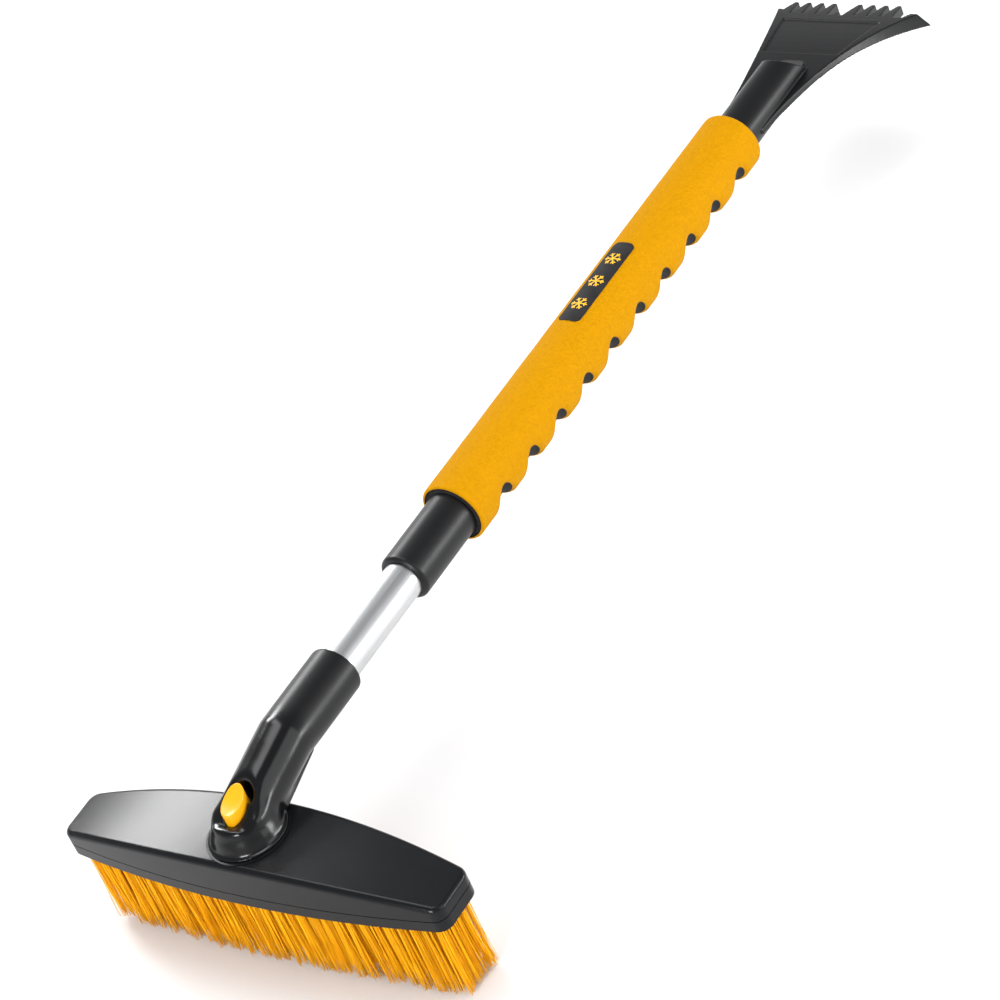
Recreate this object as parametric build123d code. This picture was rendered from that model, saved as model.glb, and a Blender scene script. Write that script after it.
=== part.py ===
from build123d import *
import math
import os

# Snow brush with a swivelling brush head, a telescopic tube and an ice scraper.
# Millimetres. Z = 0 is the plane of the bristle tips, +Z is up along the swivel axis,
# X runs along the brush head and Y along the handle, from the brush to the scraper.

# --- driving dimensions -------------------------------------------------------------
BRISTLE_LENGTH = 50.0       # bristle tips to the underside of the head
HEAD_HALF_LENGTH = 121.0
HEAD_END_HALF_WIDTH = 14.6
HEAD_MID_HALF_WIDTH = 24.2
HEAD_END_HEIGHT = 14.0
HEAD_MID_HEIGHT = 27.0
BLOCK_HEIGHT = 7.0          # bristle block, the lower layer of the head
COVER_WALL = 2.4
ROW_FRACTIONS = (-0.66, -0.33, 0.0, 0.33, 0.66)
ROW_THICKNESS = 3.2
ROW_HALF_LENGTH = 114.0
ROW_EMBED = 5.0
BLOCK_SCREWS = ((-46.0, 3.8), (-19.0, -3.95), (19.0, 3.95), (46.0, -3.8))

SCREW_RADIUS = 1.2
SHAFT_HEIGHT = 46.0         # shaft axis above the underside of the head
BOSS_RADIUS = 22.6
BOSS_RISE = 0.6
ARM_BASE_RADIUS = 21.4
POST_RADIUS = 9.0
RUNNING_GAP = 0.06
PIVOT_WASHER = 1.6
PIVOT_SHANK = 1.65
BOLT_CLEARANCE = 0.05
ARM_LEAN = 13.0
ARM_BEND_Y = 47.0
ARM_END_Y = 6.5
NOSE_RADIUS = 19.2
NOSE_HEIGHT = 13.8
WEB_TAIL_RADIUS = 4.0
WEB_TAIL_Y = 56.0
SOCKET_PIN_Y = 80.0
SOCKET_PIN_RADIUS = 1.55
AXIAL_GAP = 0.1
SOCKET_RADIUS = 14.65
SOCKET_END = 97.0
INNER_TUBE_RADIUS = 11.0
INNER_TUBE_WALL = 1.0
INNER_TUBE_START = 46.0
INNER_TUBE_END = 382.0
OUTER_TUBE_RADIUS = 12.6
OUTER_TUBE_BORE = 11.6
OUTER_TUBE_START = 176.0
OUTER_TUBE_END = 527.5
COLLAR_START = 163.0
COLLAR_RADIUS = 14.27
GRIP_START = 213.5
GRIP_END = 528.5
CORE_RADIUS = 17.1
SKIN_RADIUS = 18.7
GROOVE_COUNT = 10
GROOVE_FIRST = 239.4
GROOVE_PITCH = 29.5
GROOVE_DEPTH = 5.7
GROOVE_SECTION_RADIUS = 13.0
GROOVE_WRAP_RADIUS = 17.8
BUTTON_TRAVEL = 4.0
SCRAPER_NECK_RADIUS = 13.2
SPIGOT_START = 470.0
SPIGOT_BORE = 8.0
SCRAPER_PIN_Y = 510.0
SCRAPER_PIN_RADIUS = 2.0
SOCKET_FOOT = 42.0          # the scraper socket's slanted end meets the blade here
SOCKET_SLANT = 12.5         # how far the slanted end leans back over the socket's height
BADGE_START = 348.0
BADGE_END = 414.0
BADGE_THICKNESS = 0.35
PARTING_STEP = 0.5
BLADE_ROOT = 556.0
BLADE_THICKNESS = 3.0
BLADE_LENGTH = 102.0
BLADE_LEFT_SHARE = 0.2      # the -X side leans out by this share of the +X side's lean
BLADE_SPLAY = 15.0          # outward lean of the blade's sides over 26 mm of depth
# side line of the blade's face: place along the handle from its root, and height
BLADE_BEND = ((-16, 0), (30, -0.6), (57, -1.6), (82, -4.2), (122, -12.4))
SKIRT_DEPTHS = (3.4, 3.6, 4.0, 5.6, 9.5)
RIB_DEPTHS = (3.2, 5.5, 5.5, 4.0, 3.2)
PANEL_DEPTH = 0.8
TOOTH_HEIGHT = 15.5
TOOTH_PITCH = 8.8
TOOTH_DEPTH = 6.0
TOOTH_TIP = 1.3
TOOTH_SHIFT = -2.0           # the row of teeth sits off the blade's middle
WING_PINCH = 3.6             # the +X side is this much narrower near the grip

# --- derived levels ------------------------------------------------------------------
HEAD_Z = BRISTLE_LENGTH
SPLIT_Z = HEAD_Z + BLOCK_HEIGHT
BOSS_Z = HEAD_Z + HEAD_MID_HEIGHT + BOSS_RISE
ARM_Z = BOSS_Z + AXIAL_GAP
AXIS_Z = HEAD_Z + SHAFT_HEIGHT
BOSS_PLATE_Z = BOSS_Z - 5.6
POST_Z = BOSS_PLATE_Z - AXIAL_GAP


# --- helpers -------------------------------------------------------------------------
def upright(radius, z_low, z_high, x=0.0, y=0.0):
    """Solid cylinder along Z."""
    body = Cylinder(radius, z_high - z_low, align=(Align.CENTER, Align.CENTER, Align.MIN))
    return Pos(x, y, z_low) * body


def ring(outer, inner, z_low, z_high, x=0.0, y=0.0):
    """Upright ring along Z."""
    return upright(outer, z_low, z_high, x, y) - upright(inner, z_low - 1, z_high + 1, x, y)


def shaft(radius, y_low, y_high):
    """Solid cylinder on the shaft axis, along Y."""
    body = Cylinder(radius, y_high - y_low, align=(Align.CENTER, Align.CENTER, Align.MIN))
    return Pos(0, y_low, AXIS_Z) * Rot(-90, 0, 0) * body


def sleeve(outer, inner, y_low, y_high):
    """Tube on the shaft axis."""
    return shaft(outer, y_low, y_high) - shaft(inner, y_low - 1, y_high + 1)


def across(radius, x_low, x_high, y, z):
    """Solid cylinder along X."""
    body = Cylinder(radius, x_high - x_low, align=(Align.CENTER, Align.CENTER, Align.MIN))
    return Pos(x_low, y, z) * Rot(0, 90, 0) * body


def half_width(x):
    """Half width of the head's outline at a place along it."""
    u = x / HEAD_HALF_LENGTH
    return HEAD_END_HALF_WIDTH + (HEAD_MID_HALF_WIDTH - HEAD_END_HALF_WIDTH) * (1 - u * u)


def boat_outline(inset):
    """Outline of the head in plan, moved inwards by inset."""
    end_x = HEAD_HALF_LENGTH - inset
    end_y = HEAD_END_HALF_WIDTH - inset
    mid_y = HEAD_MID_HALF_WIDTH - inset
    front = ThreePointArc((-end_x, -end_y), (0, -mid_y), (end_x, -end_y))
    back = ThreePointArc((end_x, end_y), (0, mid_y), (-end_x, end_y))
    right = Line((end_x, -end_y), (end_x, end_y))
    left = Line((-end_x, end_y), (-end_x, -end_y))
    face = make_face([front, right, back, left])
    return fillet(face.vertices(), max(7.0 - inset, 2.0))


def arched_prism(inset, z_low):
    """Boat-shaped body with the arched top, moved inwards by inset."""
    plan = Pos(0, 0, z_low) * boat_outline(inset)
    column = extrude(plan, 60)
    end_z = HEAD_Z + HEAD_END_HEIGHT - inset
    mid_z = HEAD_Z + HEAD_MID_HEIGHT - inset
    reach = HEAD_HALF_LENGTH
    arch = ThreePointArc((-reach, end_z), (0, mid_z), (reach, end_z))
    sides = Polyline((reach, end_z), (reach, z_low), (-reach, z_low), (-reach, end_z))
    profile = make_face([arch, sides])
    slab = extrude(Plane.XZ * profile, 40, both=True)
    return column & slab


def row_solid(fraction, z_low, z_high, grow=0.0):
    """One bristle row: a thin wall that follows the outline at a fraction of its width."""
    reach = ROW_HALF_LENGTH + grow
    half = ROW_THICKNESS / 2 + grow
    mid_y = fraction * half_width(0)
    end_y = fraction * half_width(reach)
    if fraction == 0:
        return Pos(0, 0, z_low) * extrude(Rectangle(2 * reach, 2 * half), z_high - z_low)
    near = ThreePointArc((-reach, end_y - half), (0, mid_y - half), (reach, end_y - half))
    far = ThreePointArc((reach, end_y + half), (0, mid_y + half), (-reach, end_y + half))
    right = Line((reach, end_y - half), (reach, end_y + half))
    left = Line((-reach, end_y + half), (-reach, end_y - half))
    return extrude(Pos(0, 0, z_low) * make_face([near, right, far, left]), z_high - z_low)


def coil(radius, wire, length, turns):
    """Compression spring along Z, from its lower end."""
    path = Helix(length / turns, length, radius)
    section = Plane(origin=path @ 0, z_dir=path % 0) * Circle(wire / 2)
    return sweep(section, path=path, is_frenet=True)


# --- brush head ----------------------------------------------------------------------
def head_cover():
    outer = arched_prism(0, SPLIT_Z)
    top_edges = outer.edges().filter_by(lambda e: e.center().Z > HEAD_Z + HEAD_END_HEIGHT - 0.5)
    outer = fillet(top_edges, 3.0)
    body = outer - arched_prism(COVER_WALL, SPLIT_Z - 1)
    body = body + upright(BOSS_RADIUS, BOSS_PLATE_Z, BOSS_Z)
    for x, y in BLOCK_SCREWS:
        body = body + (upright(4.0, SPLIT_Z + 4.2, BOSS_Z, x, y) & arched_prism(0.5, SPLIT_Z))
        body = body - upright(SCREW_RADIUS, SPLIT_Z, SPLIT_Z + 12, x, y)
    body = body - upright(POST_RADIUS + RUNNING_GAP, SPLIT_Z, BOSS_Z + 1)
    body = body - ring(18.0, 11.0, BOSS_Z - 2.2, BOSS_Z + 1)
    return body


def bristle_block():
    body = extrude(Pos(0, 0, HEAD_Z) * boat_outline(0), BLOCK_HEIGHT - PARTING_STEP)
    step = Pos(0, 0, SPLIT_Z - PARTING_STEP) * boat_outline(PARTING_STEP)
    body = body + extrude(step, PARTING_STEP)
    lip = extrude(Pos(0, 0, SPLIT_Z) * boat_outline(COVER_WALL + 0.2), 4.0)
    lip = lip - extrude(Pos(0, 0, SPLIT_Z) * boat_outline(COVER_WALL + 2.4), 4.0)
    body = body + lip
    for fraction in ROW_FRACTIONS:
        body = body - row_solid(fraction, HEAD_Z - 1, HEAD_Z + ROW_EMBED)
    for x, y in BLOCK_SCREWS:
        body = body + upright(4.0, SPLIT_Z, SPLIT_Z + 4.0, x, y)
        body = body - upright(2.1, HEAD_Z - 1, HEAD_Z + 2.6, x, y)
        body = body - upright(1.6, HEAD_Z, SPLIT_Z + 5, x, y)
    return body


def block_screws():
    screws = []
    for x, y in BLOCK_SCREWS:
        head = upright(1.95, HEAD_Z + 0.5, HEAD_Z + 2.6, x, y)
        cross = Pos(x, y, HEAD_Z + 0.5) * Box(2.8, 0.7, 1.4)
        cross = cross + Pos(x, y, HEAD_Z + 0.5) * Box(0.7, 2.8, 1.4)
        shank = upright(SCREW_RADIUS - 0.03, HEAD_Z + 2.6, SPLIT_Z + 11.5, x, y)
        screws.append(head - cross + shank)
    return Compound(screws)


def index_ring():
    low = BOSS_Z - 2.2
    body = ring(17.95, 11.05, low, BOSS_Z)
    for step in range(12):
        notch = Pos(14.5, 0, BOSS_Z) * Box(4.2, 2.6, 2.4)
        body = body - Rot(0, 0, step * 30 + 90) * notch
    return body


# --- swivel arm ----------------------------------------------------------------------
BUTTON_HALF = (5.9, 8.6)
POCKET_FLOOR = ARM_Z + 4.2
BUTTON_LOW = POCKET_FLOOR + BUTTON_TRAVEL + 0.2
RECESS_FLOOR = AXIS_Z - 8.4
RECESS_START = 3.0
LATCH_Y = -14.5
LATCH_RADIUS = 2.0
LATCH_LOW = BOSS_Z + 0.4
LATCH_HIGH = LATCH_LOW + 4.4


def oval_prism(half_x, half_y, z_low, z_high):
    return extrude(Pos(0, 0, z_low) * Ellipse(half_x, half_y), z_high - z_low)


def button_top():
    """Wedge above the slanted top of the release button."""
    low = (-30, AXIS_Z + 4.0 - 30 * math.tan(math.radians(21)))
    high = (30, AXIS_Z + 4.0 + 30 * math.tan(math.radians(21)))
    wedge = make_face(Polyline(low, high, (30, 150), (-30, 150), low))
    return extrude(Plane.YZ * wedge, 30, both=True)


def nose_profile():
    """Half section of the rounded nose, turned about the swivel axis."""
    foot = Line((0, ARM_Z), (NOSE_RADIUS, ARM_Z))
    flank = Spline(
        (NOSE_RADIUS, ARM_Z),
        (NOSE_RADIUS - 0.8, ARM_Z + 4.8),
        (NOSE_RADIUS - 2.9, ARM_Z + 8.6),
        (NOSE_RADIUS - 6.6, ARM_Z + NOSE_HEIGHT - 2.1),
        (NOSE_RADIUS - 11.0, ARM_Z + NOSE_HEIGHT - 0.6),
        (0, ARM_Z + NOSE_HEIGHT),
    )
    axis = Line((0, ARM_Z + NOSE_HEIGHT), (0, ARM_Z))
    return Plane.XZ * make_face([foot, flank, axis])


def web_outline():
    """Teardrop in plan: the base disc drawn out into a narrow tail under the tube."""
    base = NOSE_RADIUS - 2.0
    lean = math.asin((base - WEB_TAIL_RADIUS) / WEB_TAIL_Y)
    base_x = base * math.cos(lean)
    base_y = base * math.sin(lean)
    tail_x = WEB_TAIL_RADIUS * math.cos(lean)
    tail_y = WEB_TAIL_Y + WEB_TAIL_RADIUS * math.sin(lean)
    front = ThreePointArc((-base_x, base_y), (0, -base), (base_x, base_y))
    right = Line((base_x, base_y), (tail_x, tail_y))
    tail = ThreePointArc((tail_x, tail_y), (0, WEB_TAIL_Y + WEB_TAIL_RADIUS), (-tail_x, tail_y))
    left = Line((-tail_x, tail_y), (-base_x, base_y))
    return make_face([front, right, tail, left])


def leaning_tube():
    """The arm's lower stretch, which leans down from the socket into the nose."""
    lean = math.radians(ARM_LEAN)
    length = (ARM_BEND_Y - ARM_END_Y) / math.cos(lean)
    body = Cylinder(SOCKET_RADIUS, length, align=(Align.CENTER, Align.CENTER, Align.MIN))
    body = Pos(0, ARM_BEND_Y, AXIS_Z) * Rot(90 + ARM_LEAN, 0, 0) * body
    end_z = AXIS_Z - (ARM_BEND_Y - ARM_END_Y) * math.tan(lean)
    end = Pos(0, ARM_END_Y, end_z) * Sphere(SOCKET_RADIUS)
    knee = Pos(0, ARM_BEND_Y, AXIS_Z) * Sphere(SOCKET_RADIUS)
    return body + end + knee


def button_pocket():
    """Cutter for the button's well, and for the deeper shadowed recess behind the button."""
    well = oval_prism(BUTTON_HALF[0] + 0.3, BUTTON_HALF[1] + 0.3, POCKET_FLOOR, AXIS_Z + 30)
    recess = oval_prism(BUTTON_HALF[0] + 2.4, BUTTON_HALF[1] + 4.6, RECESS_FLOOR, AXIS_Z + 30)
    recess = recess & (Pos(0, 30 + RECESS_START, AXIS_Z) * Box(60, 60, 60))
    return well + recess


def nose_flank():
    """Oblique cone that carries the base disc's width up into the leaning tube."""
    low = Pos(0, 0, ARM_Z + 0.6) * Circle(NOSE_RADIUS - 0.3)
    high = Pos(0, ARM_END_Y + 1.6, ARM_Z + 16.4) * Circle(SOCKET_RADIUS - 0.5)
    return loft([low, high])


def nose_slope():
    """Cutter that planes the nose down to the button's slanted front rim."""
    slope = make_face(Polyline(
        (12, AXIS_Z + 40), (12, AXIS_Z + 4.6), (-9.4, AXIS_Z - 6.1), (-12, AXIS_Z - 4.4),
        (-40, AXIS_Z - 4.0), (-40, AXIS_Z + 40), (12, AXIS_Z + 40),
    ))
    return extrude(Plane.YZ * slope, 40, both=True)


def swivel_arm():
    tube = shaft(SOCKET_RADIUS, ARM_BEND_Y, SOCKET_END)
    tube = fillet(tube.edges().sort_by(Axis.Y)[-1], 1.4)
    web = extrude(Pos(0, 0, ARM_Z) * web_outline(), SHAFT_HEIGHT - HEAD_MID_HEIGHT - 4, taper=8)
    body = leaning_tube() + tube + revolve(nose_profile(), Axis.Z) + nose_flank() + web
    body = body - Pos(0, 0, ARM_Z - 30) * Box(90, 200, 60)
    body = body + upright(ARM_BASE_RADIUS, ARM_Z, ARM_Z + 1.2)
    body = body - nose_slope() - button_pocket()
    body = body - shaft(INNER_TUBE_RADIUS, INNER_TUBE_START, SOCKET_END + 1)
    body = body - shaft(8.0, 26, INNER_TUBE_START + 1)
    body = body + upright(POST_RADIUS, POST_Z, ARM_Z + 2)
    body = body - upright(PIVOT_SHANK + BOLT_CLEARANCE, POST_Z - 1, POCKET_FLOOR - 1.2)
    body = body - upright(LATCH_RADIUS + RUNNING_GAP, ARM_Z - 1, LATCH_HIGH + 3.4, 0, LATCH_Y)
    return body - socket_pin_hole()


def socket_pin_hole():
    """Upright hole up into the underside of the tube, for the pin that holds it."""
    return upright(SOCKET_PIN_RADIUS + BOLT_CLEARANCE, AXIS_Z - 20, AXIS_Z - 7, 0, SOCKET_PIN_Y)


def pivot_washer():
    return ring(13.0, PIVOT_SHANK + 0.1, POST_Z - PIVOT_WASHER, POST_Z)


def pivot_screw():
    head_low = POST_Z - PIVOT_WASHER - 3.0
    head = upright(4.2, head_low, POST_Z - PIVOT_WASHER)
    cross = Pos(0, 0, head_low) * Box(5.2, 1.1, 2.4)
    cross = cross + Pos(0, 0, head_low) * Box(1.1, 5.2, 2.4)
    return head - cross + upright(PIVOT_SHANK, POST_Z - PIVOT_WASHER, POCKET_FLOOR - 1.6)


def release_button():
    body = oval_prism(BUTTON_HALF[0], BUTTON_HALF[1], BUTTON_LOW, AXIS_Z + 20)
    body = body - button_top()
    dish_radius = 24.0
    dish = Pos(0, -dish_radius * 0.35, AXIS_Z + 2.6 + dish_radius * 0.93) * Sphere(dish_radius)
    body = body - dish
    return body - upright(4.0, BUTTON_LOW - 1, BUTTON_LOW + 1.5)


def button_spring():
    return Pos(0, 0, POCKET_FLOOR + 0.35) * coil(3.2, 0.6, BUTTON_TRAVEL + 1.0, 3)


def latch_pin():
    body = upright(LATCH_RADIUS, LATCH_LOW, LATCH_HIGH, 0, LATCH_Y)
    return chamfer(body.edges().sort_by(Axis.Z)[0], 0.5)


def latch_spring():
    return Pos(0, LATCH_Y, LATCH_HIGH + 0.3) * coil(1.4, 0.4, 2.6, 3)


def inner_tube():
    body = sleeve(INNER_TUBE_RADIUS, INNER_TUBE_RADIUS - INNER_TUBE_WALL,
                  INNER_TUBE_START, INNER_TUBE_END)
    return body - socket_pin_hole()


def socket_rivet():
    """Pin from the socket's underside into the tube, flush with the socket."""
    low = AXIS_Z - SOCKET_RADIUS + 0.3
    return upright(SOCKET_PIN_RADIUS, low, AXIS_Z - 8, 0, SOCKET_PIN_Y)


# --- twist lock inside the tubes -------------------------------------------------------
LOCK_START = INNER_TUBE_END - 12.0
LOCK_END = INNER_TUBE_END + 20.0


def lock_plug():
    body = shaft(INNER_TUBE_RADIUS - INNER_TUBE_WALL, LOCK_START, INNER_TUBE_END)
    body = body + shaft(INNER_TUBE_RADIUS, INNER_TUBE_END, INNER_TUBE_END + 2)
    body = body + shaft(7.0, INNER_TUBE_END + 2, LOCK_END - 2)
    return body - shaft(1.7, LOCK_END - 14, LOCK_END)


def lock_washer():
    return sleeve(9.4, 1.75, LOCK_END - 2, LOCK_END - 0.4)


def lock_screw():
    head = shaft(3.2, LOCK_END - 0.4, LOCK_END + 1.6)
    slot = Pos(0, LOCK_END + 1.6, AXIS_Z) * Box(5.0, 1.6, 0.9)
    return head - slot + shaft(1.65, LOCK_END - 13, LOCK_END - 0.4)


def expander_sleeve():
    body = sleeve(OUTER_TUBE_BORE - 0.08, 7.06, INNER_TUBE_END + 2.2, LOCK_END - 2.2)
    split = Pos(0, INNER_TUBE_END + 10, AXIS_Z + 9) * Box(1.6, 30, 9)
    return body - split


# --- handle ----------------------------------------------------------------------------
def outer_tube():
    body = sleeve(OUTER_TUBE_RADIUS, OUTER_TUBE_BORE, OUTER_TUBE_START, OUTER_TUBE_END)
    return body - scraper_pin_hole()


def tube_collar():
    body = shaft(COLLAR_RADIUS, COLLAR_START, GRIP_START - 0.3)
    body = fillet(body.edges().sort_by(Axis.Y)[0], 2.6)
    body = body - shaft(INNER_TUBE_RADIUS + 0.3, COLLAR_START - 1, COLLAR_START + 3)
    return body - shaft(OUTER_TUBE_RADIUS + 0.01, COLLAR_START + 2, GRIP_START)


def guide_bush():
    return sleeve(OUTER_TUBE_RADIUS - 0.02, INNER_TUBE_RADIUS + RUNNING_GAP,
                  COLLAR_START + 2.05, OUTER_TUBE_START - 0.05)


def finger_grooves():
    """Ring-shaped cutters whose inner side scoops the underside of the grip."""
    centre_z = AXIS_Z + GROOVE_WRAP_RADIUS - (SKIN_RADIUS - GROOVE_DEPTH)
    cutters = []
    for index in range(GROOVE_COUNT):
        cutter = Torus(GROOVE_WRAP_RADIUS + GROOVE_SECTION_RADIUS, GROOVE_SECTION_RADIUS)
        y = GROOVE_FIRST + index * GROOVE_PITCH
        cutters.append(Pos(0, y, centre_z) * Rot(90, 0, 0) * cutter)
    return cutters


def foam_core():
    body = sleeve(CORE_RADIUS, OUTER_TUBE_RADIUS, GRIP_START, GRIP_END)
    for cutter in finger_grooves():
        body = body - cutter
    return body


def foam_skin():
    body = shaft(SKIN_RADIUS, GRIP_START, GRIP_END)
    body = fillet(body.edges().sort_by(Axis.Y)[0], 1.4)
    body = fillet(body.edges().sort_by(Axis.Y)[-1], 1.4)
    body = body - shaft(CORE_RADIUS, GRIP_START - 1, GRIP_END + 1)
    for cutter in finger_grooves():
        body = body - cutter
    return body


def grip_badge():
    band = sleeve(SKIN_RADIUS + BADGE_THICKNESS, SKIN_RADIUS, BADGE_START, BADGE_END)
    middle = (BADGE_START + BADGE_END) / 2
    window = Pos(0, middle, 0) * RectangleRounded(14.0, BADGE_END - BADGE_START, 3.5)
    return band & extrude(Pos(0, 0, AXIS_Z) * window, 30)


# --- ice scraper -------------------------------------------------------------------------
def scraper_pin_hole():
    return across(SCRAPER_PIN_RADIUS + BOLT_CLEARANCE, 0, 20, SCRAPER_PIN_Y, AXIS_Z)


def blade_flank(inset, splay, pinch):
    """One side of the blade's outline, from the grip to its square outer corner."""
    edge_y = BLADE_LENGTH - inset * 0.4
    curve = [
        (17.4 - inset + 0.2 * splay - pinch, -18),
        (22.4 - inset + 0.4 * splay - pinch, 26),
        (31.2 - inset + 0.7 * splay - pinch / 4, 68),
        (42.5 - inset * 2 + 1.6 * splay, edge_y + 5.5),
    ]
    corner = [(39.8 - inset + 1.2 * splay, edge_y + 5.5), (38.6 - inset + splay, edge_y)]
    return curve, corner


def blade_outline(inset, splay):
    """Outline of the blade in its own plan; only its +X side is drawn out into a wing."""
    right, right_corner = blade_flank(inset, splay, WING_PINCH)
    left, left_corner = blade_flank(inset, splay * BLADE_LEFT_SHARE, 0)
    left = [(-x, y) for x, y in reversed(left)]
    left_corner = [(-x, y) for x, y in reversed(left_corner)]
    edge = Polyline([right[-1]] + right_corner + left_corner + [left[0]])
    low = Line(left[-1], right[0])
    return make_face([Spline(right), edge, Spline(left), low])


def flared(inset):
    """The outline drawn down and outwards, so that the blade's sides splay."""
    top = Pos(0, 0, 0.5) * blade_outline(inset, 0)
    bottom = Pos(0, 0, -25.5) * blade_outline(inset, BLADE_SPLAY)
    return loft([top, bottom])


def bent_slab(depths, half_span=70):
    """Slab across X between the blade's bent face and a lower line given as depths below it."""
    upper = Spline(BLADE_BEND)
    lower = Spline([(y, z - depth) for (y, z), depth in reversed(list(zip(BLADE_BEND, depths)))])
    far = Line(upper @ 1, lower @ 0)
    near = Line(lower @ 1, upper @ 0)
    return extrude(Plane.YZ * make_face([upper, far, lower, near]), half_span, both=True)


def tooth_solid(x, width, height):
    """Blunt wedge that stands forward of the blade's edge."""
    tip = min(TOOTH_TIP, width / 2)
    outline = Polyline((-width, -2), (-tip, height), (tip, height), (width, -2), (-width, -2))
    column = extrude(Pos(x, BLADE_LENGTH, -30) * make_face(outline), 40)
    return column & bent_slab([TOOTH_DEPTH] * len(BLADE_BEND))


def scraper_blade():
    """Bent plate with splayed skirts, ribs underneath, teeth and a shallow panel on top."""
    sheet = bent_slab([BLADE_THICKNESS] * len(BLADE_BEND))
    plate = flared(0) & sheet
    skirt = (flared(0) - flared(2.4)) & bent_slab(SKIRT_DEPTHS)
    skirt = skirt - Pos(0, BLADE_LENGTH + 6, -16) * Box(76, 34, 26)
    blade = plate + skirt
    for side in (-1, 1):
        for index in range(4):
            x = TOOTH_SHIFT + side * TOOTH_PITCH * (index + 1)
            blade = blade + tooth_solid(x, 4.3, TOOTH_HEIGHT)
    blade = blade + tooth_solid(TOOTH_SHIFT, 3.0, 4.0)
    for x in (-11, 0, 11):
        blade = blade + (Pos(x, 38, -8) * Box(1.8, 84, 20) & bent_slab(RIB_DEPTHS))
    panel = make_face(Polyline((-25, 57), (25, 57), (33, 95), (-33, 95), (-25, 57)))
    cut = extrude(Pos(0, 0, -30) * panel, 40) & bent_slab([PANEL_DEPTH] * len(BLADE_BEND))
    return Pos(0, BLADE_ROOT, AXIS_Z) * (blade - cut)


def scraper_socket():
    """Round socket that carries the blade, with a slanted end and a low rounded foot."""
    socket = shaft(SCRAPER_NECK_RADIUS, GRIP_END + 0.2, BLADE_ROOT + SOCKET_FOOT + 14)
    foot_y = BLADE_ROOT + SOCKET_FOOT
    over = SCRAPER_NECK_RADIUS + 1
    slant = make_face(Polyline(
        (foot_y - SOCKET_SLANT, AXIS_Z + over), (foot_y + SOCKET_SLANT, AXIS_Z - over),
        (foot_y + 60, AXIS_Z - over), (foot_y + 60, AXIS_Z + over),
        (foot_y - SOCKET_SLANT, AXIS_Z + over),
    ))
    ramp = make_face(Polyline(
        (foot_y - 10, AXIS_Z - 2), (foot_y - 10, AXIS_Z + 4.4), (foot_y - 3, AXIS_Z + 3.4),
        (foot_y + 9, AXIS_Z - 2), (foot_y - 10, AXIS_Z - 2),
    ))
    ramp = extrude(Plane.YZ * ramp, 20, both=True) & upright(12, 0, AXIS_Z + 20, 0, foot_y - 4)
    return socket - extrude(Plane.YZ * slant, 30, both=True) + ramp


def scraper_head():
    spigot = shaft(OUTER_TUBE_BORE - 0.02, SPIGOT_START, GRIP_END + 1)
    body = scraper_socket() + spigot + scraper_blade()
    body = body - shaft(SPIGOT_BORE, SPIGOT_START - 5, BLADE_ROOT + 20)
    return body - scraper_pin_hole()


def scraper_rivet():
    return across(SCRAPER_PIN_RADIUS, SPIGOT_BORE + 0.2, OUTER_TUBE_RADIUS - 0.2,
                  SCRAPER_PIN_Y, AXIS_Z)


# --- write the parts ---------------------------------------------------------------------
def build_parts():
    parts = {
        "head_cover": head_cover(),
        "bristle_block": bristle_block(),
        "block_screws": block_screws(),
        "index_ring": index_ring(),
        "swivel_arm": swivel_arm(),
        "pivot_washer": pivot_washer(),
        "pivot_screw": pivot_screw(),
        "release_button": release_button(),
        "button_spring": button_spring(),
        "latch_pin": latch_pin(),
        "latch_spring": latch_spring(),
        "inner_tube": inner_tube(),
        "socket_rivet": socket_rivet(),
        "lock_plug": lock_plug(),
        "lock_washer": lock_washer(),
        "lock_screw": lock_screw(),
        "expander_sleeve": expander_sleeve(),
        "outer_tube": outer_tube(),
        "tube_collar": tube_collar(),
        "guide_bush": guide_bush(),
        "foam_core": foam_core(),
        "foam_skin": foam_skin(),
        "grip_badge": grip_badge(),
        "scraper_head": scraper_head(),
        "scraper_rivet": scraper_rivet(),
    }
    for index, fraction in enumerate(ROW_FRACTIONS):
        name = f"bristle_row_{index + 1}"
        parts[name] = row_solid(fraction, 0, HEAD_Z + ROW_EMBED)
    return parts


os.makedirs("parts", exist_ok=True)
for node, shape in build_parts().items():
    export_step(shape, f"parts/{node}.step")
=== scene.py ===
import math

import bmesh
import bpy
import numpy as np
from mathutils import Matrix, Vector


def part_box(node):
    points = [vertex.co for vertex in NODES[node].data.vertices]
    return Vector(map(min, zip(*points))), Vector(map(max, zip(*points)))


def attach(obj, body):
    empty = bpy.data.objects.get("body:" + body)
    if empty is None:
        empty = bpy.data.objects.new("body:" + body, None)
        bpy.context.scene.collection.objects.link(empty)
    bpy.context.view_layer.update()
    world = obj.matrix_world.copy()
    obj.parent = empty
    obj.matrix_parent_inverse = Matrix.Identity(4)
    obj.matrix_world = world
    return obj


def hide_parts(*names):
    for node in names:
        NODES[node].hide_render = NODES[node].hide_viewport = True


# Looks of a snow brush: bristle head, swivel arm, telescopic tube, foam grip and scraper.
# Metres. +Z is up along the swivel axis, X runs along the head and Y along the handle.

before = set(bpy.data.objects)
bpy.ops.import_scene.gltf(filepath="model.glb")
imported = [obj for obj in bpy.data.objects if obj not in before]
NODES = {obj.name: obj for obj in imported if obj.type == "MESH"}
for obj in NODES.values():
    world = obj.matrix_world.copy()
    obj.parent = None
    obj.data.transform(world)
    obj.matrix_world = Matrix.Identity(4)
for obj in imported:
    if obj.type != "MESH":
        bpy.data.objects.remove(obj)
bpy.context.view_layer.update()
MM = 0.001

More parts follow.
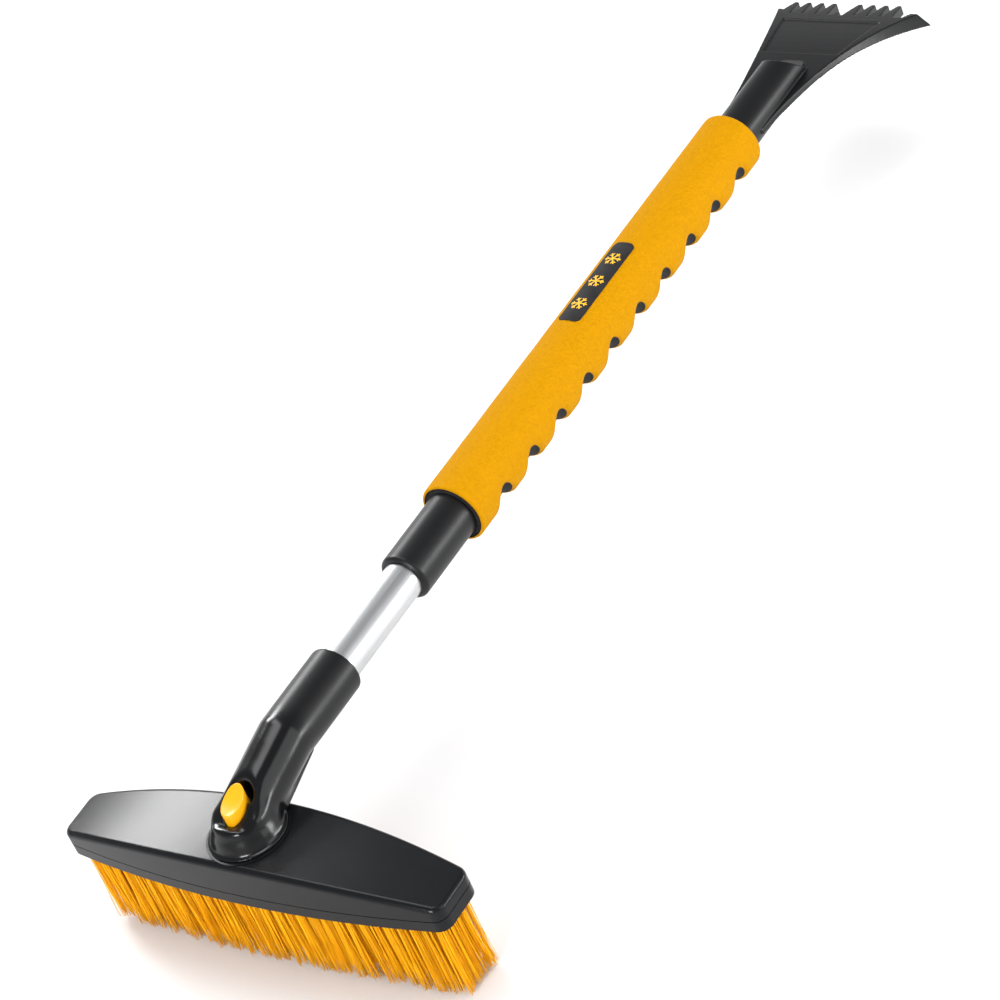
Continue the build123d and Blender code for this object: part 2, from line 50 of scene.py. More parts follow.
tube_low, tube_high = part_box("inner_tube")
AXIS_Z = (tube_low.z + tube_high.z) / 2
block_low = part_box("bristle_block")[0]
skin_low, skin_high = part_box("foam_skin")
badge_low, badge_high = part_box("grip_badge")
SKIN_RADIUS = 18.7           # millimetres, from the tube's axis, as are the two below
CORE_RADIUS = 17.1
BORE_RADIUS = 12.62


# --- small node helpers ---------------------------------------------------------------
class Surface:
    """A material with one Principled shader and short ways to wire textures into it."""

    def __init__(self, name):
        self.mat = bpy.data.materials.new(name)
        self.mat.use_nodes = True
        self.tree = self.mat.node_tree
        self.tree.nodes.clear()
        output = self.tree.nodes.new("ShaderNodeOutputMaterial")
        self.shader = self.tree.nodes.new("ShaderNodeBsdfPrincipled")
        self.link(self.shader.outputs[0], output.inputs[0])
        self.place = self.tree.nodes.new("ShaderNodeTexCoord").outputs["Object"]
        self.bumps = None

    def link(self, source, target):
        self.tree.links.new(source, target)

    def fixed(self, **values):
        for key, value in values.items():
            self.shader.inputs[key.replace("_", " ")].default_value = value
        return self

    def stretched(self, scale):
        node = self.tree.nodes.new("ShaderNodeMapping")
        node.inputs["Scale"].default_value = scale
        self.link(self.place, node.inputs["Vector"])
        return node.outputs[0]

    def noise(self, scale, detail=3.0, stretch=None, rough=0.5):
        node = self.tree.nodes.new("ShaderNodeTexNoise")
        node.inputs["Scale"].default_value = scale
        node.inputs["Detail"].default_value = detail
        node.inputs["Roughness"].default_value = rough
        self.link(self.stretched(stretch) if stretch else self.place, node.inputs["Vector"])
        return node.outputs["Fac"]

    def cells(self, scale):
        node = self.tree.nodes.new("ShaderNodeTexVoronoi")
        node.feature = "SMOOTH_F1"
        node.inputs["Scale"].default_value = scale
        self.link(self.place, node.inputs["Vector"])
        return node.outputs["Distance"]

    def ramp(self, source, stops):
        node = self.tree.nodes.new("ShaderNodeValToRGB")
        elements = node.color_ramp.elements
        while len(elements) < len(stops):
            elements.new(0.5)
        for element, (place, colour) in zip(elements, stops):
            element.position = place
            element.color = (*colour, 1.0)
        self.link(source, node.inputs["Fac"])
        return node.outputs["Color"]

    def spread(self, source, low, high):
        node = self.tree.nodes.new("ShaderNodeMapRange")
        node.inputs["To Min"].default_value = low
        node.inputs["To Max"].default_value = high
        self.link(source, node.inputs["Value"])
        return node.outputs["Result"]

    def mix(self, factor, first, second):
        node = self.tree.nodes.new("ShaderNodeMix")
        node.data_type = "RGBA"
        self.link(factor, node.inputs["Factor"])
        for socket, value in ((node.inputs[6], first), (node.inputs[7], second)):
            if isinstance(value, tuple):
                socket.default_value = (*value, 1.0)
            else:
                self.link(value, socket)
        return node.outputs[2]

    def bump(self, height, depth, strength=1.0):
        node = self.tree.nodes.new("ShaderNodeBump")
        node.inputs["Strength"].default_value = strength
        node.inputs["Distance"].default_value = depth
        self.link(height, node.inputs["Height"])
        if self.bumps is not None:
            self.link(self.bumps, node.inputs["Normal"])
        self.bumps = node.outputs["Normal"]
        self.link(self.bumps, self.shader.inputs["Normal"])
        return self

    def colour(self, source):
        self.link(source, self.shader.inputs["Base Color"])
        return self

    def roughness(self, source):
        self.link(source, self.shader.inputs["Roughness"])
        return self


def from_axis(surface):
    """Distance of a point from the tube's axis."""
    split = surface.tree.nodes.new("ShaderNodeSeparateXYZ")
    surface.link(surface.place, split.inputs[0])
    lower = surface.tree.nodes.new("ShaderNodeMath")
    lower.operation = "SUBTRACT"
    surface.link(split.outputs["Z"], lower.inputs[0])
    lower.inputs[1].default_value = AXIS_Z
    join = surface.tree.nodes.new("ShaderNodeCombineXYZ")
    surface.link(split.outputs["X"], join.inputs["X"])
    surface.link(lower.outputs[0], join.inputs["Z"])
    length = surface.tree.nodes.new("ShaderNodeVectorMath")
    length.operation = "LENGTH"
    surface.link(join.outputs[0], length.inputs[0])
    return length.outputs["Value"]


# --- materials ----------------------------------------------------------------------------
def satin_black():
    s = Surface("cover_black").fixed(IOR=1.46, Specular_IOR_Level=0.22)
    tone = s.noise(9.0, 2.0)
    s.colour(s.ramp(tone, [(0.3, (0.0045, 0.0050, 0.0056)), (0.7, (0.0070, 0.0076, 0.0084))]))
    s.roughness(s.spread(s.noise(35.0, 4.0), 0.20, 0.26))
    s.bump(s.noise(1900.0, 2.0), 0.00006, 0.40)
    return s.mat


def gloss_black():
    """Glossy on the arm's nose and more matt from the start of the tube's socket."""
    nose_end, socket_start = 44.0, 58.0
    s = Surface("gloss_black").fixed(IOR=1.5, Specular_IOR_Level=0.32)
    tone = s.noise(14.0, 2.0)
    s.colour(s.ramp(tone, [(0.3, (0.0020, 0.0022, 0.0027)), (0.7, (0.0040, 0.0043, 0.0050))]))
    split = s.tree.nodes.new("ShaderNodeSeparateXYZ")
    s.link(s.place, split.inputs[0])
    along = s.tree.nodes.new("ShaderNodeMapRange")
    along.inputs["From Min"].default_value = nose_end * MM
    along.inputs["From Max"].default_value = socket_start * MM
    along.inputs["To Min"].default_value = 0.0
    along.inputs["To Max"].default_value = 0.2
    s.link(split.outputs["Y"], along.inputs["Value"])
    total = s.tree.nodes.new("ShaderNodeMath")
    total.operation = "ADD"
    s.link(s.spread(s.noise(60.0, 5.0), 0.15, 0.22), total.inputs[0])
    s.link(along.outputs["Result"], total.inputs[1])
    s.roughness(total.outputs[0])
    s.bump(s.noise(1700.0, 2.0), 0.00004, 0.3)
    return s.mat


def scraper_black():
    s = Surface("scraper_black").fixed(IOR=1.42, Specular_IOR_Level=0.4)
    tone = s.noise(18.0, 3.0)
    s.colour(s.ramp(tone, [(0.3, (0.0032, 0.0035, 0.0040)), (0.7, (0.0058, 0.0061, 0.0068))]))
    s.roughness(s.spread(s.noise(45.0, 4.0), 0.30, 0.38))
    s.bump(s.noise(1500.0, 2.0), 0.00004, 0.35)
    return s.mat


def bristle_plastic():
    s = Surface("bristle_yellow").fixed(IOR=1.48, Roughness=0.4)
    s.fixed(Specular_IOR_Level=0.15)
    strand = s.noise(1400.0, 1.0, (1.0, 1.0, 0.02))
    patch = s.noise(150.0, 2.0, (1.0, 1.0, 0.35))
    strands = s.ramp(strand, [(0.3, (0.99, 0.44, 0.003)), (0.7, (1.0, 0.54, 0.006))])
    tint = s.mix(s.spread(patch, 0.0, 0.35), strands, (1.0, 0.46, 0.003))
    s.colour(tint)
    return s.mat


def button_plastic():
    s = Surface("yellow_plastic").fixed(IOR=1.5, Subsurface_Weight=0.15, Subsurface_Scale=0.003)
    s.colour(s.ramp(s.noise(40.0), [(0.3, (0.78, 0.345, 0.002)), (0.7, (0.84, 0.39, 0.004))]))
    s.roughness(s.spread(s.noise(90.0, 4.0), 0.24, 0.34))
    s.bump(s.noise(1300.0, 2.0), 0.00003, 0.3)
    return s.mat


def brushed_metal(name, dark, light, low, high, stretch):
    s = Surface(name).fixed(Metallic=1.0)
    lines = s.noise(900.0, 4.0, stretch, 0.65)
    s.colour(s.ramp(lines, [(0.25, dark), (0.75, light)]))
    s.roughness(s.spread(lines, low, high))
    s.bump(lines, 0.00002, 0.3)
    return s.mat


def foam(name, yellow):
    """Closed-cell foam with a leathery grain; the yellow one turns black at the core's radius."""
    s = Surface(name).fixed(IOR=1.4)
    mottle = s.noise(420.0, 5.0, None, 0.6)
    dark = s.ramp(mottle, [(0.3, (0.017, 0.017, 0.018)), (0.7, (0.03, 0.03, 0.032))])
    if yellow:
        warm = s.ramp(mottle, [(0.3, (0.49, 0.220, 0.0003)), (0.55, (0.52, 0.237, 0.0004)),
                               (0.75, (0.55, 0.253, 0.0005))])
        edge = s.tree.nodes.new("ShaderNodeMapRange")
        edge.inputs["From Min"].default_value = (CORE_RADIUS - 0.1) * MM
        edge.inputs["From Max"].default_value = (CORE_RADIUS + 0.1) * MM
        s.link(from_axis(s), edge.inputs["Value"])
        s.colour(s.mix(edge.outputs["Result"], dark, warm))
    else:
        s.colour(dark)
    s.roughness(s.spread(s.noise(500.0, 3.0), 0.62, 0.78))
    s.fixed(Specular_IOR_Level=0.06)
    s.bump(s.cells(620.0), 0.0007, 1.0)
    s.bump(s.noise(1500.0, 3.0), 0.0003, 0.8)
    return s.mat


def pale_plastic():
    s = Surface("inner_plastic").fixed(IOR=1.46, Subsurface_Weight=0.1, Subsurface_Scale=0.002)
    s.colour(s.ramp(s.noise(60.0), [(0.3, (0.55, 0.55, 0.53)), (0.7, (0.66, 0.66, 0.64))]))
    s.roughness(s.spread(s.noise(200.0), 0.35, 0.5))
    return s.mat


def badge_film():
    s = Surface("badge_black").fixed(IOR=1.5, Specular_IOR_Level=0.2)
    s.colour(s.ramp(s.noise(150.0, 3.0), [(0.3, (0.012, 0.012, 0.013)),
                                          (0.7, (0.020, 0.020, 0.021))]))
    s.roughness(s.spread(s.noise(400.0, 3.0), 0.6, 0.75))
    s.bump(s.cells(1050.0), 0.00012, 0.35)
    return s.mat


def badge_print():
    s = Surface("badge_print").fixed(IOR=1.5, Roughness=0.5)
    s.colour(s.ramp(s.noise(300.0), [(0.3, (0.90, 0.42, 0.003)), (0.7, (0.97, 0.50, 0.010))]))
    s.bump(s.cells(1050.0), 0.00012, 0.3)
    return s.mat


MATERIALS = {
    "cover_black": satin_black(),
    "gloss_black": gloss_black(),
    "scraper_black": scraper_black(),
    "bristle_yellow": bristle_plastic(),
    "yellow_plastic": button_plastic(),
    "silver_tube": brushed_metal("silver_tube", (0.52, 0.53, 0.54), (0.68, 0.685, 0.69),
                                 0.30, 0.38, (1.0, 0.02, 1.0)),
    "zinc_steel": brushed_metal("zinc_steel", (0.45, 0.46, 0.48), (0.62, 0.63, 0.65),
                                0.28, 0.42, (1.0, 1.0, 1.0)),
    "foam_yellow": foam("foam_yellow", True),
    "foam_black": foam("foam_black", False),
    "inner_plastic": pale_plastic(),
    "badge_black": badge_film(),
    "badge_print": badge_print(),
}

NODE_FINISH = {
    "head_cover": "cover_black", "bristle_block": "cover_black", "index_ring": "inner_plastic",
    "block_screws": "zinc_steel", "swivel_arm": "gloss_black", "pivot_washer": "zinc_steel",
    "pivot_screw": "zinc_steel", "release_button": "yellow_plastic",
    "button_spring": "zinc_steel", "latch_pin": "inner_plastic", "latch_spring": "zinc_steel",
    "inner_tube": "silver_tube", "socket_rivet": "zinc_steel", "lock_plug": "inner_plastic",
    "lock_washer": "zinc_steel", "lock_screw": "zinc_steel", "expander_sleeve": "inner_plastic",
    "outer_tube": "silver_tube", "tube_collar": "gloss_black", "guide_bush": "inner_plastic",
    "foam_core": "foam_black", "foam_skin": "foam_yellow", "grip_badge": "badge_black",
    "scraper_head": "scraper_black", "scraper_rivet": "zinc_steel",
}
for row in range(1, 6):
    NODE_FINISH[f"bristle_row_{row}"] = "bristle_yellow"
for node_name, finish in NODE_FINISH.items():
    node_mesh = NODES[node_name].data
    node_mesh.materials.clear()
    node_mesh.materials.append(MATERIALS[finish])


# --- mesh helpers -------------------------------------------------------------------------
def mesh_object(name, verts, faces, finish, smooth=True):
    mesh = bpy.data.meshes.new(name)
    mesh.from_pydata([tuple(v) for v in verts], [], [tuple(int(i) for i in f) for f in faces])
    mesh.validate()
    mesh.update()
    mesh.materials.append(MATERIALS[finish])
    mesh.polygons.foreach_set("use_smooth", [smooth] * len(mesh.polygons))
    obj = bpy.data.objects.new(name, mesh)
    bpy.context.scene.collection.objects.link(obj)
    return obj


def moulded(node, name, voxel, rounds, finish):
    """A moulding with softly rounded edges that stands for a CAD node."""
    mesh = NODES[node].data.copy()
    mesh.name = name
    shell = bmesh.new()
    shell.from_mesh(mesh)
    bmesh.ops.remove_doubles(shell, verts=shell.verts, dist=1e-6)
    bmesh.ops.recalc_face_normals(shell, faces=shell.faces)
    shell.to_mesh(mesh)
    shell.free()
    obj = bpy.data.objects.new(name, mesh)
    bpy.context.scene.collection.objects.link(obj)
    remesh = obj.modifiers.new("Remesh", "REMESH")
    remesh.mode = "VOXEL"
    remesh.voxel_size = voxel
    relax = obj.modifiers.new("Smooth", "SMOOTH")
    relax.factor = 0.5
    relax.iterations = rounds
    graph = bpy.context.evaluated_depsgraph_get()
    result = bpy.data.meshes.new_from_object(obj.evaluated_get(graph))
    obj.modifiers.clear()
    obj.data = result
    result.materials.clear()
    result.materials.append(MATERIALS[finish])
    result.polygons.foreach_set("use_smooth", [True] * len(result.polygons))
    return obj


def tube_faces(rows, columns, offset=0, flip=False):
    """Quads of a grid of points that closes on itself across its columns."""
    faces = []
    for r in range(rows - 1):
        for c in range(columns):
            d = (c + 1) % columns
            quad = (r * columns + c, r * columns + d, (r + 1) * columns + d, (r + 1) * columns + c)
            quad = tuple(offset + i for i in quad)
            faces.append(quad[::-1] if flip else quad)
    return faces


# --- foam grip ----------------------------------------------------------------------------
GROOVE_COUNT = 10
GROOVE_FIRST = 239.4
GROOVE_PITCH = 29.5
GROOVE_DEPTH = 5.7
GROOVE_SECTION = 13.0
GROOVE_WRAP = 17.8
GRIP_COLUMNS = 128
GRIP_ROWS = 640
END_MARGIN = 1.5
RIM_ROUND = 1.4
SKIN_THINNEST = 0.8
CORE_INSET = 0.25


def soft_min(a, b, width):
    """Smaller of two numbers, with a rounded change-over."""
    blend = np.clip(0.5 + 0.5 * (b - a) / width, 0.0, 1.0)
    return b * (1 - blend) + a * blend - width * blend * (1 - blend)


def groove_radius(y, theta):
    """Radius of the grip's surface where a finger groove cuts it, theta being from the top."""
    reach = GROOVE_WRAP + GROOVE_SECTION
    centre = GROOVE_WRAP - (SKIN_RADIUS - GROOVE_DEPTH)
    result = np.full(y.shape, 99.0)
    for index in range(GROOVE_COUNT):
        along = y - (GROOVE_FIRST + index * GROOVE_PITCH)
        inside = np.abs(along) < GROOVE_SECTION
        depth = np.sqrt(np.clip(GROOVE_SECTION ** 2 - along ** 2, 0.0, None))
        ring = reach - depth
        ray = centre * np.cos(theta)
        ray = ray + np.sqrt(np.clip(ring ** 2 - (centre * np.sin(theta)) ** 2, 0.0, None))
        result = np.where(inside, np.minimum(result, ray), result)
    return result


def end_round(y, low, high, radius):
    """How far a rounded rim draws the surface in near either end."""
    near = np.clip(np.minimum(y - low, high - y), 0.0, radius)
    return radius - np.sqrt(np.clip(radius ** 2 - (radius - near) ** 2, 0.0, None))


def foam_layers():
    """Surface and inner radii of the yellow skin and of the black lining under it."""
    low = skin_low.y / MM
    high = skin_high.y / MM
    margin = np.linspace(0.0, 1.0, 9)[:-1] ** 1.6 * END_MARGIN
    middle = np.linspace(low + END_MARGIN, high - END_MARGIN, GRIP_ROWS)
    ys = np.concatenate([low + margin, middle, (high - margin)[::-1]])
    angles = np.linspace(0, 2 * math.pi, GRIP_COLUMNS, endpoint=False)
    y, theta = np.meshgrid(ys, angles, indexing="ij")
    swell = 0.05 * np.sin(y * 0.21 + 2.0 * theta) + 0.04 * np.sin(y * 0.083 - theta + 1.3)
    outer = soft_min(SKIN_RADIUS - 0.03 + swell * 0.5, groove_radius(y, theta), RIM_ROUND)
    outer = outer - end_round(y, low, high, RIM_ROUND)
    inner = np.minimum(CORE_RADIUS, outer - SKIN_THINNEST)
    core = np.minimum(CORE_RADIUS - 0.02, outer - SKIN_THINNEST - 0.02)
    bore = np.full(y.shape, BORE_RADIUS)
    core_y = np.clip(y, low + CORE_INSET, high - CORE_INSET)
    return (y, theta, outer, inner), (core_y, theta, core, bore)


def sleeve_object(name, y, theta, outer, inner, finish):
    """Closed sleeve between two radius fields."""
    rows, columns = y.shape

    def points(radius):
        return np.stack([radius * np.sin(theta) * MM, y * MM,
                         AXIS_Z + radius * np.cos(theta) * MM], axis=-1).reshape(-1, 3)

    verts = np.concatenate([points(outer), points(inner)])
    second = rows * columns
    faces = tube_faces(rows, columns) + tube_faces(rows, columns, second, True)
    for c in range(columns):
        d = (c + 1) % columns
        faces.append((d, c, second + c, second + d))
        last = (rows - 1) * columns
        faces.append((last + c, last + d, second + last + d, second + last + c))
    return mesh_object(name, verts, faces, finish)


skin_fields, core_fields = foam_layers()
grip_foam = sleeve_object("grip_foam", *skin_fields, "foam_yellow")
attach(grip_foam, "handle")
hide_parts("foam_skin")
grip_lining = sleeve_object("grip_lining", *core_fields, "foam_black")
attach(grip_lining, "handle")
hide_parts("foam_core")


# --- printed badge on the grip ----------------------------------------------------------
def wrapped(along, around, lift):
    """Point of the grip's surface from places along and around it, in millimetres."""
    radius = SKIN_RADIUS + lift
    angle = around / SKIN_RADIUS
    return (radius * math.sin(angle) * MM, along * MM, AXIS_Z + radius * math.cos(angle) * MM)


PRINT_LOW = 0.36
PRINT_HIGH = 0.44
PRINT_STEP = 1.5
CRYSTAL_SHIFTS = (-19.0, 0.0, 19.0)
CRYSTAL_REACH = 4.9
FORK_AT = 2.9
FORK_REACH = 1.8
FORK_ANGLE = 52
ARM_HALF_WIDTH = 0.42
FORK_HALF_WIDTH = 0.3


def snow_crystals():
    """A row of three plain six-armed crystals."""
    verts = []
    faces = []

    def bar(start, end, half):
        run = Vector((end[0] - start[0], end[1] - start[1]))
        side = Vector((-run.y, run.x)).normalized() * half
        steps = max(2, int(run.length / PRINT_STEP) + 1)
        base = len(verts)
        for step in range(steps):
            share = step / (steps - 1)
            for sign in (-1, 1):
                along = start[0] + run.x * share + side.x * sign
                around = start[1] + run.y * share + side.y * sign
                verts.append(wrapped(along, around, PRINT_LOW))
                verts.append(wrapped(along, around, PRINT_HIGH))
        for step in range(steps - 1):
            a = base + step * 4
            b = a + 4
            faces.extend([(a + 1, b + 1, b + 3, a + 3), (a, a + 2, b + 2, b),
                          (a, b, b + 1, a + 1), (a + 2, a + 3, b + 3, b + 2)])
        tail = base + (steps - 1) * 4
        faces.extend([(base, base + 1, base + 3, base + 2),
                      (tail, tail + 2, tail + 3, tail + 1)])

    low = badge_low.y / MM
    high = badge_high.y / MM
    centre = (low + high) / 2
    for shift in CRYSTAL_SHIFTS:
        for arm in range(6):
            angle = math.radians(60 * arm + 30)
            ray = (math.cos(angle), math.sin(angle))
            tip = (centre + shift + CRYSTAL_REACH * ray[0], CRYSTAL_REACH * ray[1])
            bar((centre + shift, 0.0), tip, ARM_HALF_WIDTH)
            for turn in (-1, 1):
                fork = angle + turn * math.radians(FORK_ANGLE)
                root = (centre + shift + FORK_AT * ray[0], FORK_AT * ray[1])
                tip = (root[0] + FORK_REACH * math.cos(fork), root[1] + FORK_REACH * math.sin(fork))
                bar(root, tip, FORK_HALF_WIDTH)
    return mesh_object("badge_crystals", verts, faces, "badge_print", smooth=False)


crystals = snow_crystals()
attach(crystals, "handle")


# --- bristles ---------------------------------------------------------------------------
TUFT_PITCH = 7.6
TUFT_RADIUS = 2.5
STRANDS_PER_TUFT = 46
STRAND_RADIUS = 0.24
STRAND_EMBED = 2.0
STRAND_SHARES = (0.0, 0.3, 0.55, 0.8, 1.0)
ROW_THICKNESS = 3.2
ROW_END_MARGIN = 2.4
SEED_BASE = 40


def strand_faces(strands):
    """Faces of three-sided strands made of rings of points, closed at both ends."""
    per_strand = len(STRAND_SHARES) * 3
    pattern = []
    for ring in range(len(STRAND_SHARES) - 1):
        for corner in range(3):
            follow = (corner + 1) % 3
            pattern.append((ring * 3 + corner, ring * 3 + 3 + corner,
                            ring * 3 + 3 + follow, ring * 3 + follow))
    starts = (np.arange(strands) * per_strand)[:, None]
    quads = starts[:, :, None] + np.array(pattern)[None]
    last = per_strand - 3
    caps = starts + np.array([[0, 1, 2]])
    tips = starts + np.array([[last + 2, last + 1, last]])
    faces = [tuple(f) for f in quads.reshape(-1, 4)]
    return faces + [tuple(f) for f in caps] + [tuple(f) for f in tips]


def bristle_row(index, seed):
    """One row of tufts; the strands fan out and end at slightly different heights."""
    rng = np.random.default_rng(seed)
    low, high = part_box(f"bristle_row_{index}")
    row_mesh = NODES[f"bristle_row_{index}"].data
    spots = np.array([v.co for v in row_mesh.vertices]) / MM
    top = block_low.z / MM + STRAND_EMBED
    reach = high.x / MM - ROW_END_MARGIN
    count = int(round(2 * reach / TUFT_PITCH)) + 1
    centres_x = np.linspace(-reach, reach, count)
    ends = spots[np.abs(spots[:, 0]) > reach]
    end_y = ends[:, 1].mean()
    if abs(end_y) < 1.0:
        mid_y = 0.0
    else:
        bulge = ((high.y - low.y) / MM - ROW_THICKNESS) / 2
        mid_y = (low.y + high.y) / MM / 2 + math.copysign(bulge, end_y)
    bow = (centres_x / (reach + ROW_END_MARGIN)) ** 2
    centres_y = mid_y + (end_y - mid_y) * bow
    strands = count * STRANDS_PER_TUFT
    tuft = np.repeat(np.arange(count), STRANDS_PER_TUFT)
    radius = TUFT_RADIUS * np.sqrt(rng.uniform(0.0, 1.0, strands))
    turn = rng.uniform(0.0, 2 * math.pi, strands)
    root_x = radius * np.cos(turn)
    root_y = radius * np.sin(turn)
    lean_x = rng.normal(0.0, 0.9, count)[tuft]
    lean_y = rng.normal(0.0, 0.5, count)[tuft]
    fan_x = rng.uniform(1.1, 1.75, count)[tuft]
    tip_x = root_x * fan_x + lean_x + rng.normal(0.0, 0.45, strands)
    tip_y = root_y * 1.25 + lean_y + rng.normal(0.0, 0.45, strands)
    short = rng.uniform(0.0, 1.6, count)[tuft] + np.abs(rng.normal(0.0, 0.9, strands))
    short = short + 0.11 * np.hypot(root_x, root_y) ** 2
    tip_z = np.clip(short, 0.0, 6.0)
    wave = rng.uniform(0, 2 * math.pi, strands)
    rings = []
    for share in STRAND_SHARES:
        bend = share ** 1.5
        x = centres_x[tuft] + root_x + (tip_x - root_x) * bend
        x = x + 0.22 * np.sin(wave + 5.0 * share) * share
        y = centres_y[tuft] + root_y + (tip_y - root_y) * bend
        y = y + 0.22 * np.cos(wave + 4.0 * share) * share
        z = top + (tip_z - top) * share
        thick = STRAND_RADIUS * (1.0 - 0.35 * share)
        for corner in range(3):
            spin = 2 * math.pi * corner / 3
            rings.append(np.stack([x + thick * np.cos(spin + wave),
                                   y + thick * np.sin(spin + wave), z], axis=-1))
    points = np.stack(rings, axis=1)
    verts = points.reshape(-1, 3) * MM
    obj = mesh_object(f"bristles_{index}", verts, strand_faces(strands), "bristle_yellow")
    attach(obj, "head")
    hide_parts(f"bristle_row_{index}")


for row in range(1, 6):
    bristle_row(row, SEED_BASE + row)


# --- mouldings with softened edges ------------------------------------------------------
WELL_HALF = (6.2, 8.9)       # half sizes of the button's oval well
WELL_FLOOR = 14.1            # its floor's depth below the tube's axis
WELL_INNER = 0.55            # shares of the well's size further in than this are floor
FLOOR_SLACK = 0.12
BUTTON_FADE = (1.15, 1.5)    # around the button, in shares of its well
SOCKET_FADE = (-34.0, -22.0)
FACE_FADE = (-17.0, -15.0)   # above the turning face, from the tube's axis
VOXEL = 0.5
NOSE_ROUNDS = 220
WEIGHT_STEPS = 10


def ease(value, low, high):
    """Rises from 0 to 1 between two values."""
    return np.clip((value - low) / (high - low), 0.0, 1.0)


def vertex_places(mesh):
    at = np.empty(len(mesh.vertices) * 3)
    mesh.vertices.foreach_get("co", at)
    return at.reshape(-1, 3)


def clear_well(obj):
    """Holds the button's well at its full width and depth after the smoothing."""
    mesh = obj.data
    at = vertex_places(mesh)
    x, y, z = (at / MM).T
    floor_z = AXIS_Z / MM - WELL_FLOOR
    share = np.hypot(x / WELL_HALF[0], y / WELL_HALF[1])
    wall = (share > WELL_INNER) & (share < 1.0) & (z > floor_z + FLOOR_SLACK)
    widen = np.where(wall, 1.0 / np.maximum(share, WELL_INNER), 1.0)
    at[:, 0] *= widen
    at[:, 1] *= widen
    bottom = (share < 1.0) & (z > floor_z) & (z < floor_z + FLOOR_SLACK)
    at[bottom, 2] = floor_z * MM
    mesh.vertices.foreach_set("co", at.ravel())
    mesh.update()


def soften_nose(obj, rounds):
    """Blends the arm's nose into one smooth bulb, away from the button and the turning face."""
    x, y, z = (vertex_places(obj.data) / MM).T
    axis_z = AXIS_Z / MM
    button = np.hypot(x / WELL_HALF[0], y / WELL_HALF[1])
    weight = ease(button, *BUTTON_FADE) * ease(-y, *SOCKET_FADE)
    weight = weight * ease(z, axis_z + FACE_FADE[0], axis_z + FACE_FADE[1])
    group = obj.vertex_groups.new(name="nose")
    for level in range(1, WEIGHT_STEPS + 1):
        chosen = np.nonzero(np.round(weight * WEIGHT_STEPS) == level)[0]
        group.add([int(i) for i in chosen], level / WEIGHT_STEPS, "REPLACE")
    relax = obj.modifiers.new("Nose", "SMOOTH")
    relax.factor = 0.5
    relax.iterations = rounds
    relax.vertex_group = "nose"
    graph = bpy.context.evaluated_depsgraph_get()
    result = bpy.data.meshes.new_from_object(obj.evaluated_get(graph))
    obj.modifiers.clear()
    obj.vertex_groups.clear()
    obj.data = result


for source, piece, body, size, rounds, finish, slot in (
    ("swivel_arm", "arm_moulding", "arm", VOXEL, 12, "gloss_black", "gloss_black"),
    ("release_button", "button_cap", "button", 0.3, 4, "yellow_plastic", "yellow_plastic"),
    ("scraper_head", "scraper_moulding", "handle", VOXEL * 0.8, 4, "scraper_black", "gloss_black"),
):
    moulding = moulded(source, piece, size * MM, rounds, finish)
    if piece == "arm_moulding":
        soften_nose(moulding, NOSE_ROUNDS)
        clear_well(moulding)
    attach(moulding, body)
    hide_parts(source)


# --- floor, light and camera ------------------------------------------------------------
def floor():
    mesh = bpy.data.meshes.new("floor")
    reach = 9.0
    drop = -0.0004
    corners = [(-reach, -reach, drop), (reach, -reach, drop), (reach, reach, drop),
               (-reach, reach, drop)]
    mesh.from_pydata(corners, [], [(0, 1, 2, 3)])
    obj = bpy.data.objects.new("floor", mesh)
    bpy.context.scene.collection.objects.link(obj)
    s = Surface("floor_paper").fixed(Base_Color=(0.79, 0.79, 0.793, 1.0), Roughness=0.9)
    s.fixed(Specular_IOR_Level=0.1)
    mesh.materials.append(s.mat)


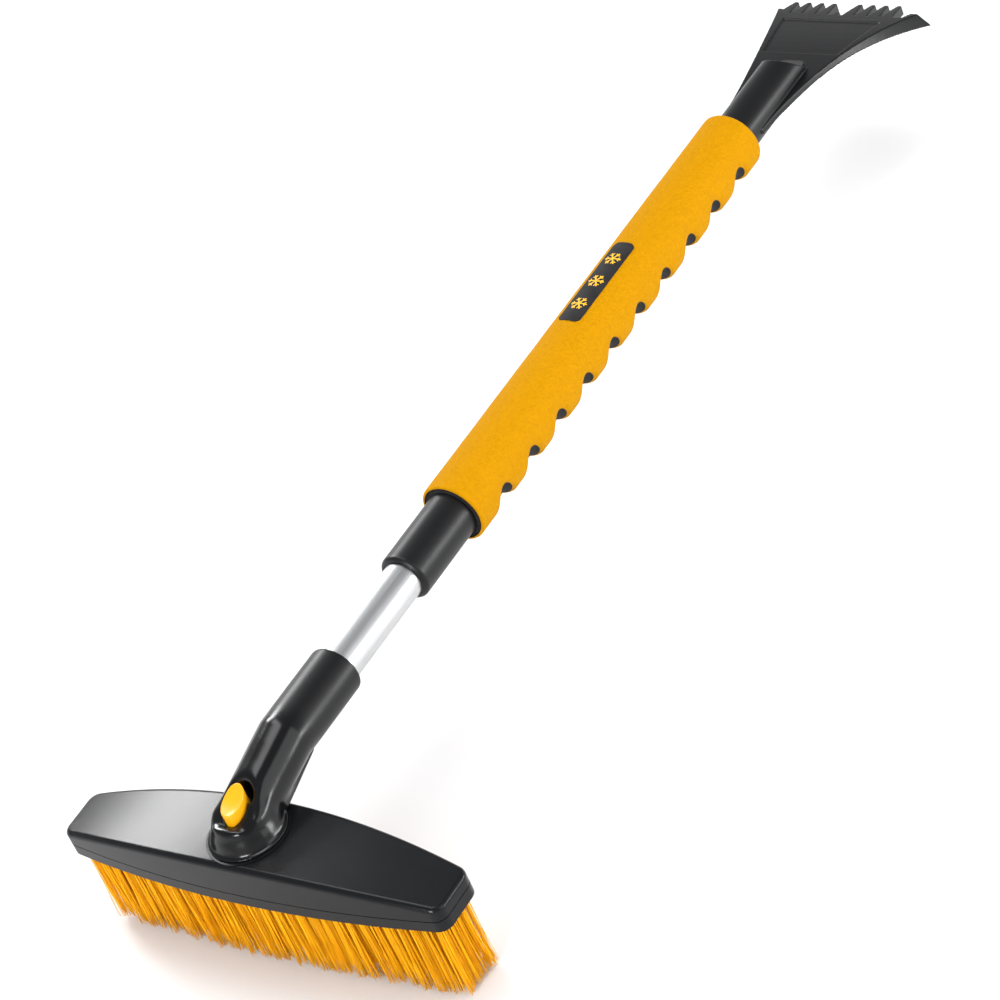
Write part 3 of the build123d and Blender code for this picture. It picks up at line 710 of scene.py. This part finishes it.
def world_light():
    """Bright pale surroundings at and below the horizon, dimmer higher up."""
    world = bpy.data.worlds.new("studio")
    world.use_nodes = True
    tree = world.node_tree
    tree.nodes.clear()
    out = tree.nodes.new("ShaderNodeOutputWorld")
    back = tree.nodes.new("ShaderNodeBackground")
    coord = tree.nodes.new("ShaderNodeTexCoord")
    split = tree.nodes.new("ShaderNodeSeparateXYZ")
    ramp = tree.nodes.new("ShaderNodeValToRGB")
    tree.links.new(coord.outputs["Generated"], split.inputs[0])
    tree.links.new(split.outputs["Z"], ramp.inputs["Fac"])
    tree.links.new(ramp.outputs["Color"], back.inputs["Color"])
    tree.links.new(back.outputs[0], out.inputs[0])
    elements = ramp.color_ramp.elements
    elements[0].position = 0.0
    elements[0].color = (1.0, 1.0, 1.0, 1.0)
    elements[1].position = 0.45
    elements[1].color = (0.42, 0.42, 0.43, 1.0)
    back.inputs["Strength"].default_value = 0.95
    bpy.context.scene.world = world


def area_light(name, place, target, size, power):
    data = bpy.data.lights.new(name, "AREA")
    data.shape = "RECTANGLE"
    data.size, data.size_y = size
    data.energy = power
    obj = bpy.data.objects.new(name, data)
    obj.location = place
    aim = Vector(target) - Vector(place)
    obj.rotation_euler = aim.to_track_quat("-Z", "Y").to_euler()
    bpy.context.scene.collection.objects.link(obj)
    return obj


def camera():
    """Looks down along the handle's +X side, past the bristle head."""
    right = Vector((0.804491, 0.494000, -0.329784))
    down = Vector((0.108109, -0.667734, -0.736508))
    forward = Vector((-0.584043, 0.556861, -0.590592))
    data = bpy.data.cameras.new("camera")
    data.sensor_width = 36.0
    data.lens = 139.27
    data.clip_start = 0.05
    data.clip_end = 50.0
    obj = bpy.data.objects.new("camera", data)
    turn = Matrix((right, -down, -forward)).transposed()
    obj.matrix_world = Matrix.Translation((1.19493, -0.89086, 1.28220)) @ turn.to_4x4()
    bpy.context.scene.collection.objects.link(obj)
    bpy.context.scene.camera = obj


floor()
world_light()
CENTRE = (0.0, 0.2, 0.06)
area_light("back", (-1.53, 0.915, 1.08), (-0.10, -0.14, 0.06), (0.68, 0.50), 24.0)
area_light("top", (-0.55, 0.45, 2.1), CENTRE, (0.5, 1.7), 15.0)
overhead = area_light("overhead", (0.3, 0.5, 2.6), CENTRE, (2.0, 2.0), 22.0)
overhead.visible_glossy = False
area_light("front", (0.35, -1.6, 0.8), CENTRE, (0.55, 0.55), 28.0)
area_light("side", (1.9, 0.4, 1.1), CENTRE, (1.2, 1.8), 14.0)
area_light("low", (1.2, 0.98, 0.16), (0.0, 0.25, 0.09), (1.0, 0.24), 11.0)
camera()
bpy.context.scene.view_settings.view_transform = "Standard"
bpy.context.scene.view_settings.look = "None"
